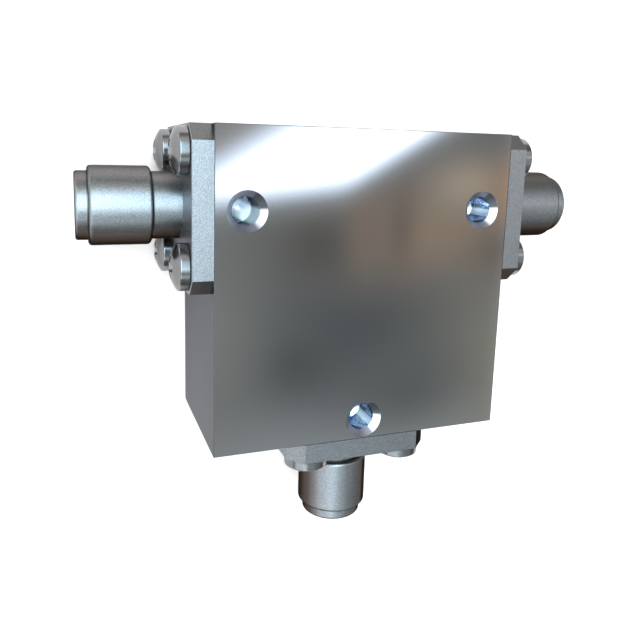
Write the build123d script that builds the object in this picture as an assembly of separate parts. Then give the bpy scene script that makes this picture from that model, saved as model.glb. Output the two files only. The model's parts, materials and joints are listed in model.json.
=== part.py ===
from build123d import *
import os
from math import asin, atan2, cos, degrees, radians, sin, sqrt, tan

# Coaxial junction circulator with three flanged threaded jacks, lying on its flat back.
# Millimetres. X runs to the right of the front face, Y towards its upper edge and Z out of it.
# The origin is the middle of the back face.

# Steel block, as deep as the jacks' flanges are wide
block_width = 25.4
block_height = 25.4
edge_break = 0.05

# Tapped and countersunk mounting holes in the front face
mount_bore_d = 2.2
mount_sink_d = 3.18
mount_bore_depth = 3.1
side_mount_inset = 2.5
bottom_mount_inset = 1.7
drill_point_angle = 118.0

# Jack flange and its four screws
flange_side = 12.7
flange_thick = 1.65
flange_chamfer = 1.25
flange_edge_break = 0.05
screw_inset = 2.03
screw_d = 2.0
screw_length = 4.0
screw_head_d = 3.65
screw_rim_height = 0.75
screw_head_height = 1.35
screw_rim_round = 0.15
screw_seat_round = 0.1
screw_tip_chamfer = 0.25
recess_span = 1.9
recess_width = 0.56
recess_depth = 0.85
recess_tip_d = 0.7
screw_tip_room = 0.45
screw_hole_gap = 0.1
thread_gap = 0.03

# Jack barrel beyond the flange, with a neck behind it and a lip in front, each a step smaller
jack_height = 7.88
barrel_d = 6.22
barrel_round = 0.28
neck_step = 0.425
neck_length = 2.2
lip_step = 0.43
lip_length = 0.95
lip_round = 0.2
mouth_d = 4.6
mouth_depth = 1.9
mouth_break = 0.12

# Jack insulator and centre contact
insulator_d = 4.1
insulator_collar_d = 5.0
insulator_collar_height = 0.8
contact_d = 1.27
contact_bare = 0.9
contact_barb_d = 1.6
contact_barb_height = 0.6
contact_barb_land = 0.15
contact_barb_station = 3.0
socket_d = 0.94
socket_depth = 2.6
socket_slot_width = 0.18
socket_slot_length = 2.1
socket_slots = 4

# Round cavity of the junction and the lid behind it
cavity_d = 17.2
arm_rise = 4.15
lid_thick = 1.5
lid_shoulder = 0.65
lid_edge_break = 0.2
spanner_hole_d = 1.6
spanner_hole_depth = 0.9
spanner_spacing = 13.0

# Stack in the cavity, the same in front of and behind the centre conductor
conductor_thick = 0.2
junction_disc_d = 7.0
arm_width = 1.8
tongue_width = 1.0
arm_angle = 30.0
ferrite_d = 11.0
ferrite_thick = 1.5
ground_plate_thick = 0.4
magnet_d = 12.0
temperature_disc_thick = 0.3
pole_plate_thick = 0.75

# Clearances, and how far a cut runs past the face that it opens
slide_gap = 0.05
press_gap = 0.01
pin_to_stack = 0.5
cut_overrun = 1.0

# Sizes and places that follow from those above
block_depth = flange_side
screw_spacing = flange_side - 2 * screw_inset
neck_d = barrel_d - 2 * neck_step
lip_d = barrel_d - 2 * lip_step
port_level = block_depth - flange_side / 2
side_port_y = block_height / 2 - flange_side / 2
junction_y = side_port_y - arm_rise
cavity_r = cavity_d / 2
bend_x = arm_rise / tan(radians(arm_angle))
magnet_thick = (port_level - lid_thick - conductor_thick / 2 - ferrite_thick
                - ground_plate_thick - temperature_disc_thick - pole_plate_thick)
cavity_top = 2 * port_level - lid_thick
disc_d = cavity_d - 2 * slide_gap
lid_d = cavity_d + 2 * lid_shoulder
jack_length = flange_thick + jack_height
reference_plane = jack_length - mouth_depth

# How far the contacts reach into the block: just short of the stack of discs
side_wall_x = sqrt(cavity_r**2 - (arm_rise - contact_d / 2)**2)
side_reach = block_width / 2 - side_wall_x - pin_to_stack
bottom_reach = block_height / 2 + junction_y - cavity_r - pin_to_stack
contact_reach = min(side_reach, bottom_reach)
insulator_reach = contact_reach - contact_bare

# Each port's plane lies on the block's side face, with its Z out of the block and its X towards the back
PORTS = {
    "left": Plane(origin=(-block_width / 2, side_port_y, port_level), x_dir=(0, 0, -1), z_dir=(-1, 0, 0)),
    "right": Plane(origin=(block_width / 2, side_port_y, port_level), x_dir=(0, 0, -1), z_dir=(1, 0, 0)),
    "bottom": Plane(origin=(0, -block_height / 2, port_level), x_dir=(0, 0, -1), z_dir=(0, -1, 0)),
}
SCREW_SPOTS = [(x * screw_spacing / 2, y * screw_spacing / 2) for x in (-1, 1) for y in (-1, 1)]


def cylinder_between(radius, low, high, x=0.0, y=0.0):
    return Pos(x, y, (low + high) / 2) * Cylinder(radius, high - low)


def turned(outline, rounds=()):
    """Turn an outline of (radius, height) points about Z; rounds holds (point index, radius)."""
    wire = Polyline(*[(r, 0, z) for r, z in outline], close=True)
    face = make_face(wire)
    for index, radius in rounds:
        r, z = outline[index]
        corner = face.vertices().sort_by_distance((r, 0, z))[0]
        face = fillet(corner, radius)
    return revolve(face, Axis.Z, 360)


def drilled(radius, depth, mouth=0.0):
    """A drilled hole's space, going down from a mouth height, with the drill's pointed end."""
    point = radius / tan(radians(drill_point_angle / 2))
    bottom = mouth - depth
    return turned([(0, mouth), (radius, mouth), (radius, bottom), (0, bottom - point)])


def ring(outer_d, inner_d, low, high):
    return cylinder_between(outer_d / 2, low, high) - cylinder_between(inner_d / 2, low, high)


def mount_hole_space():
    sink = (mount_sink_d - mount_bore_d) / 2
    cone = turned([(0, 0), (mount_sink_d / 2, 0), (mount_bore_d / 2, -sink), (0, -sink)])
    return drilled(mount_bore_d / 2, mount_bore_depth) + cone


def mount_hole_places():
    x = block_width / 2 - side_mount_inset
    y = bottom_mount_inset - block_height / 2
    return [(-x, side_port_y), (x, side_port_y), (0, y)]


def port_space():
    """What one port takes out of the block: the feed bore and four tapped holes."""
    centre_run = max(block_width / 2, block_height / 2 + junction_y)
    space = cylinder_between(insulator_d / 2, -centre_run, 0)
    tapped = drilled(screw_d / 2 + thread_gap, screw_length - flange_thick + screw_tip_room)
    for x, y in SCREW_SPOTS:
        space += Pos(x, y, 0) * tapped
    return space


def housing():
    block = Pos(0, 0, block_depth / 2) * Box(block_width, block_height, block_depth)
    block = chamfer(block.edges(), edge_break)
    block -= cylinder_between(cavity_r, lid_thick, cavity_top, 0, junction_y)
    block -= cylinder_between(lid_d / 2, -cut_overrun, lid_thick, 0, junction_y)
    for plane in PORTS.values():
        block -= plane.location * port_space()
    for x, y in mount_hole_places():
        block -= Pos(x, y, block_depth) * mount_hole_space()
    return block


def rear_lid():
    """Round screw-in lid that clamps the stack; two blind holes take a pin spanner."""
    r = lid_d / 2 - slide_gap
    lid = turned([(0, 0), (r - lid_edge_break, 0), (r, lid_edge_break), (r, lid_thick), (0, lid_thick)])
    for x in (-spanner_spacing / 2, spanner_spacing / 2):
        lid -= cylinder_between(spanner_hole_d / 2, 0, spanner_hole_depth, x, 0)
    return Pos(0, junction_y, 0) * lid


def mouth_space():
    """The round mouth that a plug enters, with its edge broken."""
    r = mouth_d / 2
    outline = [
        (0, reference_plane),
        (r, reference_plane),
        (r, jack_length - mouth_break),
        (r + mouth_break, jack_length),
        (0, jack_length),
    ]
    return turned(outline)


def jack_shell():
    """Square flange and threaded barrel in one piece, bored for the insulator."""
    flange = Pos(0, 0, flange_thick / 2) * Box(flange_side, flange_side, flange_thick)
    flange = chamfer(flange.edges().filter_by(Axis.Z), flange_chamfer)
    flange = chamfer(flange.faces().sort_by(Axis.Z)[-1].edges(), flange_edge_break)
    barrel_start = flange_thick + neck_length
    barrel_end = jack_length - lip_length
    outline = [
        (0, flange_thick / 2),
        (neck_d / 2, flange_thick / 2),
        (neck_d / 2, barrel_start),
        (barrel_d / 2, barrel_start),
        (barrel_d / 2, barrel_end),
        (lip_d / 2, barrel_end),
        (lip_d / 2, jack_length),
        (0, jack_length),
    ]
    shell = flange + turned(outline, [(3, barrel_round), (4, barrel_round), (6, lip_round)])
    shell -= cylinder_between(insulator_d / 2, -cut_overrun, jack_length)
    shell -= mouth_space()
    shell -= cylinder_between(insulator_collar_d / 2, -cut_overrun, insulator_collar_height)
    hole_r = screw_d / 2 + screw_hole_gap
    for x, y in SCREW_SPOTS:
        shell -= cylinder_between(hole_r, -cut_overrun, flange_thick + cut_overrun, x, y)
    return shell


def contact_body(gap=0.0):
    """Outer form of the centre contact with its barb, grown by a gap all round."""
    r = contact_d / 2 + gap
    barb = contact_barb_d / 2 + gap
    low = contact_barb_station - gap
    high = contact_barb_station + contact_barb_height + gap
    outline = [
        (0, -contact_reach),
        (r, -contact_reach),
        (r, low),
        (barb, high - contact_barb_land),
        (barb, high),
        (r, high),
        (r, reference_plane),
        (0, reference_plane),
    ]
    return turned(outline)


def jack_insulator():
    r = insulator_d / 2 - press_gap
    collar = insulator_collar_d / 2 - press_gap
    outline = [
        (0, -insulator_reach),
        (r, -insulator_reach),
        (r, 0),
        (collar, 0),
        (collar, insulator_collar_height),
        (r, insulator_collar_height),
        (r, reference_plane),
        (0, reference_plane),
    ]
    return turned(outline) - contact_body(press_gap)


def jack_contact():
    """Centre contact: slotted socket at the mouth, slotted solid pin in the block."""
    contact = contact_body()
    contact -= cylinder_between(socket_d / 2, reference_plane - socket_depth, reference_plane)
    across = contact_d + 2 * cut_overrun
    slot_middle = reference_plane - socket_slot_length / 2
    for index in range(socket_slots // 2):
        turn = Rot(0, 0, 360 / socket_slots * index)
        contact -= Pos(0, 0, slot_middle) * turn * Box(across, socket_slot_width, socket_slot_length)
    tail_middle = contact_bare / 2 - contact_reach
    contact -= Pos(0, 0, tail_middle) * Box(conductor_thick, across, contact_bare)
    return contact


def screw_head():
    """Pan head on Z = 0: a short cylinder under a shallow dome, with both of its rims rounded."""
    r = screw_head_d / 2
    dome = screw_head_height - screw_rim_height
    sphere_r = (r**2 + dome**2) / (2 * dome)
    middle = asin(r / sphere_r) / 2
    crown = (sphere_r * sin(middle), 0, screw_head_height - sphere_r * (1 - cos(middle)))
    top = (0, 0, screw_head_height)
    rim = (r, 0, screw_rim_height)
    side = Polyline(top, (0, 0, 0), (r, 0, 0), rim)
    face = make_face(side + ThreePointArc(rim, crown, top))
    face = fillet(face.vertices().sort_by_distance(rim)[0], screw_rim_round)
    face = fillet(face.vertices().sort_by_distance((r, 0, 0))[0], screw_seat_round)
    return revolve(face, Axis.Z, 360)


def cross_recess():
    """The recess's space: a cross whose wings slope in to a blunt tip."""
    low = screw_head_height - recess_depth
    high = screw_head_height + recess_depth
    slope = (recess_span - recess_tip_d) / (2 * recess_depth)
    cone_top = recess_tip_d / 2 + slope * (high - low)
    cone = turned([(0, low), (recess_tip_d / 2, low), (cone_top, high), (0, high)])
    wings = Box(recess_span, recess_width, high - low) + Box(recess_width, recess_span, high - low)
    return cone & (Pos(0, 0, screw_head_height) * wings)


def screw():
    """Pan head screw with its seat at Z = 0 and its head above it."""
    shank = cylinder_between(screw_d / 2, -screw_length, screw_rim_height / 2)
    shank = chamfer(shank.edges().sort_by(Axis.Z)[0], screw_tip_chamfer)
    return screw_head() - cross_recess() + shank


def screw_set():
    return [Pos(x, y, flange_thick) * screw() for x, y in SCREW_SPOTS]


def strip(start, end, width):
    """A flat strip with round ends between two points, in the plane Z = 0."""
    dx, dy = end[0] - start[0], end[1] - start[1]
    place = Pos((start[0] + end[0]) / 2, (start[1] + end[1]) / 2)
    return place * Rot(0, 0, degrees(atan2(dy, dx))) * SlotCenterToCenter(sqrt(dx * dx + dy * dy), width)


def bar(start, end, width):
    """A flat square-ended strip between two points, in the plane Z = 0."""
    dx, dy = end[0] - start[0], end[1] - start[1]
    place = Pos((start[0] + end[0]) / 2, (start[1] + end[1]) / 2)
    return place * Rot(0, 0, degrees(atan2(dy, dx))) * Rectangle(sqrt(dx * dx + dy * dy), width)


def centre_conductor():
    """Thin disc with three arms; each arm's tongue sits in the slot of a contact."""
    middle = (0, junction_y)
    outline = Pos(0, junction_y) * Circle(junction_disc_d / 2)
    for side in (-1, 1):
        bend = (side * bend_x, side_port_y)
        pin_x = side * (block_width / 2 - contact_reach)
        slot_end = (pin_x + side * contact_bare, side_port_y)
        outline += strip(middle, bend, arm_width)
        outline += strip(bend, (pin_x - side * arm_width / 2, side_port_y), arm_width)
        outline += bar(bend, slot_end, tongue_width)
    pin_y = contact_reach - block_height / 2
    outline += strip(middle, (0, pin_y + arm_width / 2), arm_width)
    outline += bar(middle, (0, pin_y - contact_bare), tongue_width)
    return Pos(0, 0, port_level - conductor_thick / 2) * extrude(outline, conductor_thick)


def stack_levels():
    """Height above the centre plane at which each layer of half the stack starts and ends."""
    layers = {}
    level = conductor_thick / 2
    thicknesses = {
        "ferrite": ferrite_thick,
        "ground": ground_plate_thick,
        "magnet": magnet_thick,
        "temperature": temperature_disc_thick,
        "pole": pole_plate_thick,
    }
    for name, thick in thicknesses.items():
        layers[name] = (level, level + thick)
        level += thick
    return layers


def half_stack():
    """The layers above the centre plane, around the junction's axis."""
    layers = stack_levels()
    ring_low, ring_high = layers["magnet"][0], layers["temperature"][1]
    return {
        "ferrite_disc": cylinder_between(ferrite_d / 2, *layers["ferrite"]),
        "dielectric_ring": ring(disc_d, ferrite_d + 2 * slide_gap, *layers["ferrite"]),
        "ground_plate": cylinder_between(disc_d / 2, *layers["ground"]),
        "magnet": cylinder_between(magnet_d / 2, *layers["magnet"]),
        "magnet_ring": ring(disc_d, magnet_d + 2 * slide_gap, ring_low, ring_high),
        "temperature_disc": cylinder_between(magnet_d / 2, *layers["temperature"]),
        "pole_plate": cylinder_between(disc_d / 2, *layers["pole"]),
    }


def all_nodes():
    nodes = {"housing": housing(), "rear_lid": rear_lid(), "centre_conductor": centre_conductor()}
    for name, piece in half_stack().items():
        nodes["front_" + name] = Pos(0, junction_y, port_level) * piece
        nodes["rear_" + name] = Pos(0, junction_y, port_level) * Rot(180, 0, 0) * piece
    shell, insulator, contact, screws = jack_shell(), jack_insulator(), jack_contact(), screw_set()
    for port, plane in PORTS.items():
        nodes[port + "_jack_shell"] = plane.location * shell
        nodes[port + "_jack_insulator"] = plane.location * insulator
        nodes[port + "_jack_contact"] = plane.location * contact
        nodes[port + "_jack_screws"] = Compound(children=[plane.location * one for one in screws])
    return nodes


os.makedirs("parts", exist_ok=True)
for node, shape in all_nodes().items():
    export_step(shape, f"parts/{node}.step")
    print(node, round(shape.volume, 3))
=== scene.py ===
import json
from math import cos, pi, radians, sin

import bpy
from mathutils import Matrix, Vector

# Looks of a coaxial junction circulator that lies on its back on a pale studio floor.
# Metres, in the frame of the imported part: X right, Y up the front face, Z out of it.

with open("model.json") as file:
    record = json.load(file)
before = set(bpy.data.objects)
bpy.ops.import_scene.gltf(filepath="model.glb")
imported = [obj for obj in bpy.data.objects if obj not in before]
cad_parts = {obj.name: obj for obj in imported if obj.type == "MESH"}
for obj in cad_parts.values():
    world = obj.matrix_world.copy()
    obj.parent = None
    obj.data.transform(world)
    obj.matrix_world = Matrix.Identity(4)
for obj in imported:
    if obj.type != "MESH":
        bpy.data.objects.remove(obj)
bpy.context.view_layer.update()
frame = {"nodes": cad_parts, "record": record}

MM = 0.001

# Camera, from the edges of the object in the photograph
IMAGE_SIZE = 640
SENSOR_MM = 36.0
CAMERA_MM = Vector((-22.562, 10.525, 58.006))
CAMERA_RIGHT = Vector((0.9429, 0.0241, 0.3321))
CAMERA_FORWARD = Vector((0.3315, -0.1611, -0.9296))
FOCAL_PX = 636.6
CENTRE_PX = (295.17, 259.35)
CLIP_START_MM = 1.0
CLIP_END_M = 100.0

# Mounting holes in the front face. A row is the hole's place and then the painted highlight streak down its
# bore:
# the streak's direction, in degrees from X, and its middle and half width, in bore radii.
HOLES = (
    (-10.2, 6.35, -27.0, 0.0, 0.62),
    (10.2, 6.35, -11.0, -0.1, 0.28),
    (0.0, -11.0, -36.0, 0.05, 0.28),
)
BORE_R_MM = 1.1

# A place is in a hole where it is within this many bore radii of the hole's axis and under this height
HOLE_REACH = 1.5
HOLE_TOP_MM = 12.69

# Heights between which the countersink passes into the bore, and the directions, in degrees from X,
# of the painted glint and of the painted shade on it
SINK_END_MM = (12.18, 12.22)
SINK_PAINTED_GLINT_DEG = -24.0
SINK_PAINTED_SHADE_DEG = 36.0

# Jacks, by the distance from the middle of the part: where the flange ends, the inner corners at the two
# ends of the barrel, with the half widths at which the painted shade line in a corner starts and is full,
# and how far left or right a jack is wholly a side one
FLANGE_END_MM = (14.35, 14.45)
CORNERS_MM = (16.5, 21.33)
CORNER_SHADE_MM = (0.06, 0.02)
SIDE_JACKS_MM = 10.0

# Depth of the steel's fine grain
GRAIN_DEPTH_MM = 0.02

# Half width of the floor, and how strongly it glows where it is seen or mirrored
FLOOR_HALF_M = 4.0
FLOOR_GLOW = 0.08

# A direction of the sky is given as u and v, its X and Y where its Z is one. Directions lower than this Z
# are given by their X and Y at this Z.
LOWEST_Z = 0.02

# Soft spots of the sky, each laid over those before it: u, v, the half widths along both, and the colour
SPOTS = (
    (0.5, -0.3, 0.2, 0.12, (0.12, 0.135, 0.145)),
    (0.18, -0.3, 0.12, 0.2, (0.29, 0.3, 0.29)),
    (0.85, -0.38, 0.2, 0.2, (0.33, 0.32, 0.27)),
    (0.58, -0.42, 0.12, 0.08, (0.16, 0.175, 0.18)),
    (0.62, -0.13, 0.2, 0.08, (0.38, 0.3, 0.23)),
    (0.4, -0.15, 0.08, 0.07, (0.14, 0.14, 0.135)),
    (0.69, -0.045, 0.08, 0.05, (0.52, 0.44, 0.35)),
    (0.22, 0.08, 0.1, 0.1, (0.36, 0.36, 0.35)),
    (0.485, -0.12, 0.03, 0.08, (0.29, 0.235, 0.2)),
    (0.555, -0.12, 0.03, 0.08, (0.23, 0.19, 0.165)),
    (0.785, -0.06, 0.035, 0.07, (0.5, 0.32, 0.2)),
    (0.77, -0.17, 0.06, 0.05, (0.22, 0.19, 0.165)),
    (0.37, -0.36, 0.06, 0.05, (0.13, 0.14, 0.14)),
)

# Broad sources, each laid over those before it: from and to in u and in v, how far their soft edges reach
# along both, and the colour. The last is the main one and stands left of what the front face mirrors.
PANELS = (
    ((0.95, 1.6), (-0.5, 0.9), (0.2, 0.2), (1.2, 1.25, 1.3)),
    ((-0.6, 0.6), (1.3, 3.0), (0.4, 0.4), (1.1, 1.1, 1.05)),
    ((0.1, 0.6), (-1.1, -0.65), (0.12, 0.12), (1.1, 1.3, 1.45)),
    ((-1.3, -0.22), (-1.1, -0.62), (0.12, 0.08), (4.2, 5.1, 5.8)),
    ((-0.3, 0.16), (-0.3, 1.3), (0.03, 0.2), (1.3, 1.3, 1.05)),
    ((-0.35, 0.085), (-0.1, 0.8), (0.05, 0.2), (6.3, 8.6, 10.5)),
)


def add_camera():
    data = bpy.data.cameras.new("camera")
    data.sensor_width = SENSOR_MM
    data.lens = FOCAL_PX / IMAGE_SIZE * SENSOR_MM
    data.shift_x = (IMAGE_SIZE / 2 - CENTRE_PX[0]) / IMAGE_SIZE
    data.shift_y = (CENTRE_PX[1] - IMAGE_SIZE / 2) / IMAGE_SIZE
    data.clip_start = CLIP_START_MM * MM
    data.clip_end = CLIP_END_M
    camera = bpy.data.objects.new("camera", data)
    back = -CAMERA_FORWARD.normalized()
    up = back.cross(CAMERA_RIGHT).normalized()
    right = up.cross(back)
    turn = Matrix((right, up, back)).transposed().to_4x4()
    camera.matrix_world = Matrix.Translation(CAMERA_MM * MM) @ turn
    bpy.context.scene.collection.objects.link(camera)
    bpy.context.scene.camera = camera


def rgb(red, green, blue):
    return (red, green, blue, 1.0)


def grey(value):
    return rgb(value, value, value)


class Nodes:
    """Short names for the nodes of one node tree."""

    def __init__(self, tree):
        self.tree = tree
        tree.nodes.clear()

    def add(self, kind, **settings):
        node = self.tree.nodes.new(kind)
        for name, value in settings.items():
            setattr(node, name, value)
        return node

    def put(self, socket, value):
        if isinstance(value, bpy.types.NodeSocket):
            self.tree.links.new(value, socket)
        else:
            socket.default_value = value

    def coordinates(self, kind):
        return self.add("ShaderNodeTexCoord").outputs[kind]

    def axes(self, vector):
        node = self.add("ShaderNodeSeparateXYZ")
        self.put(node.inputs[0], vector)
        return tuple(node.outputs)

    def math(self, operation, *values):
        node = self.add("ShaderNodeMath", operation=operation)
        for socket, value in zip(node.inputs, values):
            self.put(socket, value)
        return node.outputs[0]

    def size(self, value):
        return self.math("ABSOLUTE", value)

    def inverse(self, share):
        return self.math("SUBTRACT", 1.0, share)

    def product(self, first, *others):
        for other in others:
            first = self.math("MULTIPLY", first, other)
        return first

    def scaled(self, value, middle, unit):
        """How many units the value lies past the middle."""
        return self.math("DIVIDE", self.math("SUBTRACT", value, middle), unit)

    def squares(self, x, y):
        return self.math("ADD", self.math("MULTIPLY", x, x), self.math("MULTIPLY", y, y))

    def turned(self, x, y, angle):
        """How far the point x, y lies in the direction of angle."""
        return self.math("MULTIPLY_ADD", x, cos(angle), self.math("MULTIPLY", y, sin(angle)))

    def step(self, value, low, high, start=0.0, end=1.0):
        """Goes smoothly from start, where value is low, to end, where it is high."""
        node = self.add("ShaderNodeMapRange", interpolation_type="SMOOTHSTEP")
        inputs = {"Value": value, "From Min": low, "From Max": high, "To Min": start, "To Max": end}
        for name, item in inputs.items():
            self.put(node.inputs[name], item)
        return node.outputs["Result"]

    def mix(self, amount, first, second):
        node = self.add("ShaderNodeMix", data_type="RGBA", clamp_factor=False)
        self.put(node.inputs[0], amount)
        self.put(node.inputs[6], first)
        self.put(node.inputs[7], second)
        return node.outputs[2]

    def mix_numbers(self, amount, first, second):
        node = self.add("ShaderNodeMix", data_type="FLOAT")
        self.put(node.inputs[0], amount)
        self.put(node.inputs[2], first)
        self.put(node.inputs[3], second)
        return node.outputs[0]

    def noise(self, place, scale, detail=2.0):
        node = self.add("ShaderNodeTexNoise")
        self.put(node.inputs["Vector"], place)
        self.put(node.inputs["Scale"], scale)
        self.put(node.inputs["Detail"], detail)
        return node.outputs["Fac"]

    def stretched(self, place, scales):
        node = self.add("ShaderNodeMapping")
        self.put(node.inputs["Vector"], place)
        self.put(node.inputs["Scale"], scales)
        return node.outputs[0]

    def bump(self, height, strength, distance):
        node = self.add("ShaderNodeBump")
        self.put(node.inputs["Height"], height)
        self.put(node.inputs["Strength"], strength)
        self.put(node.inputs["Distance"], distance)
        return node.outputs[0]


def material(name, metallic=0.0):
    """A new material with its nodes, its shader and the place on the part."""
    made = bpy.data.materials.new(name)
    made.use_nodes = True
    nodes = Nodes(made.node_tree)
    shader = nodes.add("ShaderNodeBsdfPrincipled")
    shader.inputs["Metallic"].default_value = metallic
    output = nodes.add("ShaderNodeOutputMaterial")
    nodes.put(output.inputs[0], shader.outputs[0])
    return made, nodes, shader, nodes.coordinates("Object")


def hole_marks(nodes, place):
    """Whether a place is in a mounting hole, and how it lies there.

    The second value is the distance from the painted highlight streak's middle in half widths. The others
    are the cosines of the angles to the painted glint and to the painted shade on the countersink.
    """
    x, y, z = nodes.axes(place)
    below = nodes.math("LESS_THAN", z, HOLE_TOP_MM * MM)
    hole, offset, glint, shade = 0.0, 0.0, 0.0, 0.0
    for hole_x, hole_y, direction, middle, half_width in HOLES:
        dx = nodes.scaled(x, hole_x * MM, BORE_R_MM * MM)
        dy = nodes.scaled(y, hole_y * MM, BORE_R_MM * MM)
        far = nodes.math("SQRT", nodes.squares(dx, dy))
        near = nodes.product(nodes.math("LESS_THAN", far, HOLE_REACH), below)
        hole = nodes.math("MAXIMUM", near, hole)
        beside = nodes.turned(dx, dy, radians(direction) + pi / 2)
        offset = nodes.math("MULTIPLY_ADD", near, nodes.scaled(beside, middle, half_width), offset)
        toward = nodes.math("DIVIDE", nodes.turned(dx, dy, radians(SINK_PAINTED_GLINT_DEG)), far)
        glint = nodes.math("MULTIPLY_ADD", near, toward, glint)
        toward = nodes.math("DIVIDE", nodes.turned(dx, dy, radians(SINK_PAINTED_SHADE_DEG)), far)
        shade = nodes.math("MULTIPLY_ADD", near, toward, shade)
    return hole, offset, glint, shade


def drilled_holes(nodes, place):
    """Where the mounting holes are, and their colour, roughness and flecked part. Their colour is mostly
    painted light.
    """
    hole, offset, glint, shade = hole_marks(nodes, place)
    z = nodes.axes(place)[2]
    sink = nodes.step(z, SINK_END_MM[0] * MM, SINK_END_MM[1] * MM)
    streak = nodes.step(nodes.size(offset), 1.25, 0.75)
    glint = nodes.step(glint, 0.8, 0.93)

    # The blue and pale flecks in the bores are painted reflection, and the darker flecked band beside each
    # streak is painted shade
    fleck = nodes.step(nodes.noise(place, 7000.0, 1.0), 0.42, 0.58)
    blue = nodes.mix(fleck, rgb(0.36, 0.5, 0.8), rgb(0.88, 0.96, 1.0))
    dark = nodes.mix(fleck, rgb(0.14, 0.17, 0.18), rgb(0.45, 0.5, 0.52))
    beside = nodes.product(nodes.step(offset, -1.5, -1.2), nodes.step(offset, 2.3, 1.9))
    wall = nodes.mix(beside, blue, dark)
    # The white streak down each bore is a painted highlight, standing for a reflection
    wall = nodes.mix(streak, wall, rgb(0.97, 1.0, 1.0))

    # Each countersink has painted shade toward its upper right and a white painted glint toward its lower
    # right
    cone = nodes.mix(nodes.step(shade, 0.81, 0.93), rgb(0.27, 0.255, 0.285), grey(0.12))
    cone = nodes.mix(glint, cone, grey(1.0))
    colour = nodes.mix(sink, wall, cone)

    wall_rough = nodes.mix_numbers(streak, 0.22, 0.4)
    cone_rough = nodes.mix_numbers(glint, 0.45, 0.3)
    rough = nodes.mix_numbers(sink, wall_rough, cone_rough)
    flecked = nodes.product(hole, nodes.inverse(sink), nodes.inverse(streak))
    return hole, colour, rough, flecked


def lapped_block():
    """The block: lapped front and back, milled sides, and drilled holes in the front. The sides are darker
    partly as painted shade, and the holes are mostly painted light.
    """
    made, nodes, shader, place = material("lapped_block", metallic=1.0)
    shader.inputs["Specular Tint"].default_value = rgb(0.295, 0.3, 0.312)
    facing = nodes.axes(nodes.coordinates("Normal"))
    steep = nodes.size(facing[2])
    flat = nodes.step(steep, 0.9, 0.97)
    cloud = nodes.noise(place, 160.0, 3.0)
    face = nodes.mix(cloud, grey(0.58), grey(0.62))
    # The sides are about half as bright as the faces: partly their milled finish, partly painted shade
    side = nodes.mix(cloud, grey(0.27), grey(0.32))

    # The broken edges are light along the bottom of the block and dark elsewhere: a painted highlight and
    # painted shade
    broken = nodes.product(nodes.step(steep, 0.3, 0.5), nodes.step(steep, 0.95, 0.85))
    side = nodes.mix(broken, side, nodes.step(facing[1], -0.5, 0.0, 0.45, 0.16))

    hole, hole_colour, hole_rough, flecked = drilled_holes(nodes, place)
    colour = nodes.mix(hole, nodes.mix(flat, side, face), hole_colour)
    nodes.put(shader.inputs["Base Color"], colour)
    rough = nodes.mix_numbers(flat, 0.22, 0.06)
    nodes.put(shader.inputs["Roughness"], nodes.mix_numbers(hole, rough, hole_rough))
    uneven = nodes.mix_numbers(flecked, 0.012, 0.5)
    grain = nodes.noise(place, 5200.0)
    nodes.put(shader.inputs["Normal"], nodes.bump(grain, uneven, GRAIN_DEPTH_MM * MM))
    return made


def jack_painted_shade(nodes, x, facing):
    """How much painted shade darkens the flanks of a jack's round parts and the chamfers of its flange."""
    nx, ny, nz = facing
    across = nodes.step(x, -SIDE_JACKS_MM * MM, SIDE_JACKS_MM * MM, -1.0, 1.0)
    tip = nodes.math("MULTIPLY_ADD", nodes.math("MINIMUM", nx, 0.0), -0.3, nz)
    least = nodes.math("MULTIPLY_ADD", across, 0.13, 0.48)
    flank_shade = nodes.product(nodes.step(tip, 0.96, 0.66), nodes.step(ny, 0.5, -0.1, least, 1.0))
    lean = nodes.math("MULTIPLY_ADD", across, 0.12, nx)
    lean = nodes.math("MULTIPLY_ADD", nodes.size(ny), 0.35, lean)
    lean = nodes.math("MULTIPLY_ADD", ny, -0.2, lean)
    bevel_shade = nodes.product(nodes.step(nz, 0.9, 0.75), nodes.step(lean, -0.45, 0.8))
    return flank_shade, bevel_shade


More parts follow.
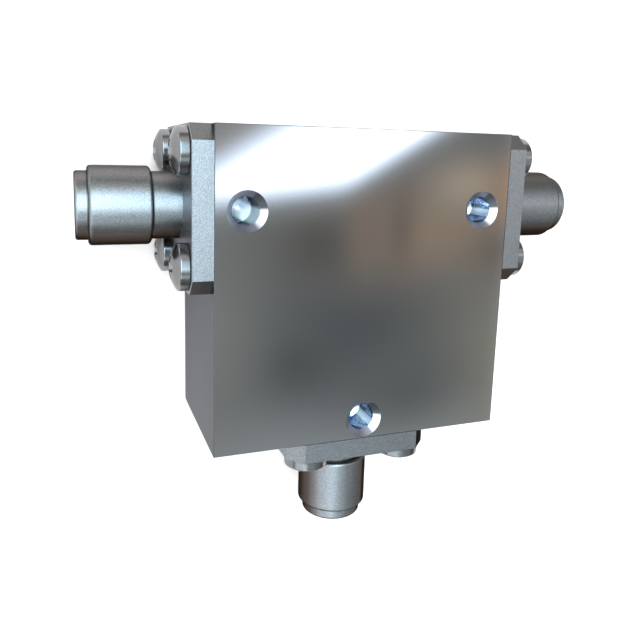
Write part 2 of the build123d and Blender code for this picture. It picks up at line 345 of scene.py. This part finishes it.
def blasted_steel():
    """The jacks: fine blasted steel, flecked where the flange faces outward, partly as painted reflection,
    and with painted shade on the flanks, the flange's chamfers and the inner corners.
    """
    made, nodes, shader, place = material("blasted_steel", metallic=1.0)
    x, y = nodes.axes(place)[:2]
    station = nodes.math("MAXIMUM", nodes.size(x), nodes.math("MULTIPLY", y, -1.0))
    beyond = nodes.step(station, FLANGE_END_MM[0] * MM, FLANGE_END_MM[1] * MM)
    grain = nodes.noise(place, 12500.0)
    steel = nodes.mix(nodes.step(grain, 0.34, 0.66), grey(0.2), grey(0.33))

    facing = nodes.axes(nodes.coordinates("Normal"))
    nx, ny = facing[:2]
    flank_shade, bevel_shade = jack_painted_shade(nodes, x, facing)
    # Painted shade: the flanks and the flange's chamfers turn dark brown by the way they face
    steel = nodes.mix(nodes.mix_numbers(beyond, bevel_shade, flank_shade), steel, rgb(0.08, 0.066, 0.057))

    # The flange's outward faces are flecked dark and bluish: a random fleck, with the bluish flecks as
    # painted reflection
    outward = nodes.math("MAXIMUM", nodes.size(nx), nodes.size(ny))
    flange = nodes.product(nodes.step(outward, 0.9, 0.97), nodes.inverse(beyond))
    speck = nodes.noise(nodes.stretched(place, (1.0, 1.0, 0.4)), 11000.0, 1.0)
    speck = nodes.step(speck, 0.35, 0.65)
    specks = nodes.mix(speck, rgb(0.13, 0.125, 0.12), rgb(0.3, 0.34, 0.385))
    steel = nodes.mix(flange, steel, specks)

    # A thin dark line of painted shade in the inner corners at the ends of the barrel
    corner = 0.0
    for at in CORNERS_MM:
        away = nodes.size(nodes.math("SUBTRACT", station, at * MM))
        line = nodes.step(away, CORNER_SHADE_MM[0] * MM, CORNER_SHADE_MM[1] * MM)
        corner = nodes.math("MAXIMUM", line, corner)
    nodes.put(shader.inputs["Base Color"], nodes.mix(corner, steel, grey(0.1)))

    # Painted shade in the sheen: the grazing tint is dark, a little lighter where the surface faces +Y, and
    # pale on the flange and the chamfers
    edge = nodes.mix(nodes.step(ny, 0.75, 1.0), rgb(0.12, 0.1, 0.09), rgb(0.26, 0.24, 0.22))
    edge = nodes.mix(nodes.math("MAXIMUM", beyond, bevel_shade), grey(0.75), edge)
    nodes.put(shader.inputs["Specular Tint"], edge)
    nodes.put(shader.inputs["Roughness"], nodes.step(grain, 0.3, 0.7, 0.34, 0.4))
    nodes.put(shader.inputs["Normal"], nodes.bump(grain, 0.5, GRAIN_DEPTH_MM * MM))
    return made


def bright_screw():
    """The screws: bright steel, with painted shade making the dome and the recess a little darker than the
    side.
    """
    made, nodes, shader, place = material("bright_screw", metallic=1.0)
    shader.inputs["Specular Tint"].default_value = grey(0.8)
    nx, ny = nodes.axes(nodes.coordinates("Normal"))[:2]
    outward = nodes.math("MAXIMUM", nodes.size(nx), nodes.math("MULTIPLY", ny, -1.0))
    cloud = nodes.noise(place, 900.0)
    # The dome is painted darker than the side, as painted shade
    side = nodes.mix(cloud, grey(0.22), grey(0.26))
    dome = nodes.mix(cloud, grey(0.17), grey(0.2))
    nodes.put(shader.inputs["Base Color"], nodes.mix(nodes.step(outward, 0.75, 0.9), side, dome))
    nodes.put(shader.inputs["Roughness"], nodes.step(cloud, 0.3, 0.7, 0.19, 0.25))
    return made


def plain(name, colour, metallic, roughness):
    """An even material, clouded by a tenth in colour and by a little in roughness."""
    made, nodes, shader, place = material(name, metallic)
    cloud = nodes.noise(place, 700.0, 3.0)
    darker = [0.9 * part for part in colour]
    nodes.put(shader.inputs["Base Color"], nodes.mix(cloud, rgb(*darker), rgb(*colour)))
    rough = nodes.step(cloud, 0.3, 0.7, roughness - 0.04, roughness + 0.04)
    nodes.put(shader.inputs["Roughness"], rough)
    return made


def dress():
    finishes = {
        "plated_block": lapped_block(),
        "jack_steel": blasted_steel(),
        "screw_steel": bright_screw(),
        "white_insulator": plain("white_insulator", (0.86, 0.85, 0.81), 0.0, 0.45),
        "gold_plate": plain("gold_plate", (0.83, 0.66, 0.34), 1.0, 0.2),
        "silver_plate": plain("silver_plate", (0.82, 0.81, 0.77), 1.0, 0.35),
        "ferrite": plain("ferrite", (0.09, 0.09, 0.1), 0.0, 0.4),
        "white_ceramic": plain("white_ceramic", (0.82, 0.8, 0.75), 0.0, 0.6),
        "magnet": plain("magnet", (0.3, 0.3, 0.31), 0.8, 0.5),
        "plate_steel": plain("plate_steel", (0.5, 0.5, 0.49), 1.0, 0.4),
        "ring_brass": plain("ring_brass", (0.7, 0.58, 0.33), 1.0, 0.4),
    }
    for row in frame["record"]["subparts"]:
        piece = frame["nodes"][row["node"]]
        if not piece.data.materials:
            piece.data.materials.append(None)
        for slot in piece.material_slots:
            slot.material = finishes[row["material_slot"]]


def floor_paint():
    """Pale matt paint that glows a little where it is seen or mirrored, but lights nothing."""
    made, nodes, shader, place = material("floor")
    shader.inputs["Roughness"].default_value = 1.0
    shader.inputs["Specular IOR Level"].default_value = 0.0
    tone = nodes.noise(place, 30.0)
    nodes.put(shader.inputs["Base Color"], nodes.mix(tone, rgb(0.93, 0.76, 0.67), rgb(0.95, 0.78, 0.69)))
    path = nodes.add("ShaderNodeLightPath")
    seen = nodes.math("MAXIMUM", path.outputs["Is Camera Ray"], path.outputs["Is Glossy Ray"])
    seen = nodes.math("MAXIMUM", seen, path.outputs["Is Transmission Ray"])
    shader.inputs["Emission Color"].default_value = grey(1.0)
    nodes.put(shader.inputs["Emission Strength"], nodes.product(seen, FLOOR_GLOW))
    return made


def add_floor():
    corners = [(x * FLOOR_HALF_M, y * FLOOR_HALF_M, 0) for x, y in ((-1, -1), (1, -1), (1, 1), (-1, 1))]
    mesh = bpy.data.meshes.new("floor")
    mesh.from_pydata(corners, [], [(0, 1, 2, 3)])
    floor = bpy.data.objects.new("floor", mesh)
    bpy.context.scene.collection.objects.link(floor)
    mesh.materials.append(floor_paint())


def spot(nodes, u, v, u_middle, v_middle, u_width, v_width):
    """A round soft spot that fades as a bell curve does."""
    across = nodes.scaled(u, u_middle, u_width)
    along = nodes.scaled(v, v_middle, v_width)
    return nodes.math("EXPONENT", nodes.product(nodes.squares(across, along), -1.0))


def panel(nodes, u, v, u_ends, v_ends, soft):
    """A rectangle with soft edges outside it."""
    shares = []
    for value, (low, high), fade in zip((u, v), (u_ends, v_ends), soft):
        shares.append(nodes.step(value, low - fade, low))
        shares.append(nodes.step(value, high + fade, high))
    return nodes.product(*shares)


def bright_strip(nodes, u, v, colour):
    """A bright strip over the given colour, with a pale halo below it and a fringe above it.

    Its lower edge is nearly level and then climbs, and its upper edge is a steeper line.
    """
    level = nodes.math("MULTIPLY_ADD", u, 0.118, -0.0987)
    climb = nodes.math("MULTIPLY_ADD", u, 0.595, -0.3133)
    over = nodes.math("SUBTRACT", v, nodes.math("SMOOTH_MAX", level, climb, 0.02))
    under = nodes.math("SUBTRACT", nodes.math("MULTIPLY_ADD", u, 0.6, -0.178), v)
    below = nodes.step(under, -0.062, 0.042)
    ends = nodes.product(nodes.step(u, 0.05, 0.15), nodes.step(u, 0.95, 0.75))
    halo = nodes.product(nodes.step(over, -0.065, 0.01), below, ends)
    colour = nodes.mix(halo, colour, rgb(0.41, 0.44, 0.45))
    fringe = nodes.product(nodes.step(under, -0.09, -0.03), nodes.inverse(below), ends)
    colour = nodes.mix(fringe, colour, rgb(0.56, 0.57, 0.6))
    strip = nodes.product(nodes.step(over, -0.03, 0.045), below, ends)
    return nodes.mix(strip, colour, nodes.mix(strip, rgb(2.6, 3.4, 4.6), grey(3.8)))


def low_sky(nodes, x, y, z, colour):
    """A dull sky low down, and a soft source low on the left, over the given colour."""
    dull = nodes.mix(nodes.step(y, -0.5, 0.5), rgb(0.2, 0.16, 0.13), rgb(0.36, 0.36, 0.33))
    dull = nodes.mix(nodes.step(x, -0.5, -0.85), dull, rgb(0.4, 0.38, 0.35))
    colour = nodes.mix(nodes.step(z, 0.5, 0.25), colour, dull)
    left = nodes.product(nodes.step(x, -0.3, -0.5), nodes.step(z, 0.15, 0.3))
    left = nodes.product(left, nodes.step(y, -0.8, -0.6), nodes.step(y, 0.8, 0.7))
    return nodes.mix(left, colour, rgb(1.7, 1.9, 2.1))


def add_sky():
    """A soft studio: a bright slanting strip and broad sources overhead, dim between them, dull low down."""
    world = bpy.data.worlds.new("studio")
    world.use_nodes = True
    bpy.context.scene.world = world
    nodes = Nodes(world.node_tree)
    x, y, z = nodes.axes(nodes.coordinates("Generated"))
    height = nodes.math("MAXIMUM", z, LOWEST_Z)
    u = nodes.math("DIVIDE", x, height)
    v = nodes.math("DIVIDE", y, height)

    colour = nodes.mix(nodes.step(v, -0.38, -0.55), rgb(0.2, 0.215, 0.225), rgb(0.36, 0.4, 0.42))
    for *form, tone in SPOTS:
        colour = nodes.mix(spot(nodes, u, v, *form), colour, rgb(*tone))
    colour = bright_strip(nodes, u, v, colour)
    for *form, tone in PANELS:
        colour = nodes.mix(panel(nodes, u, v, *form), colour, rgb(*tone))
    colour = low_sky(nodes, x, y, z, colour)

    background = nodes.add("ShaderNodeBackground")
    nodes.put(background.inputs["Color"], colour)
    output = nodes.add("ShaderNodeOutputWorld")
    nodes.put(output.inputs[0], background.outputs[0])


add_camera()
add_sky()
add_floor()
dress()
bpy.context.scene.view_settings.view_transform = "Standard"
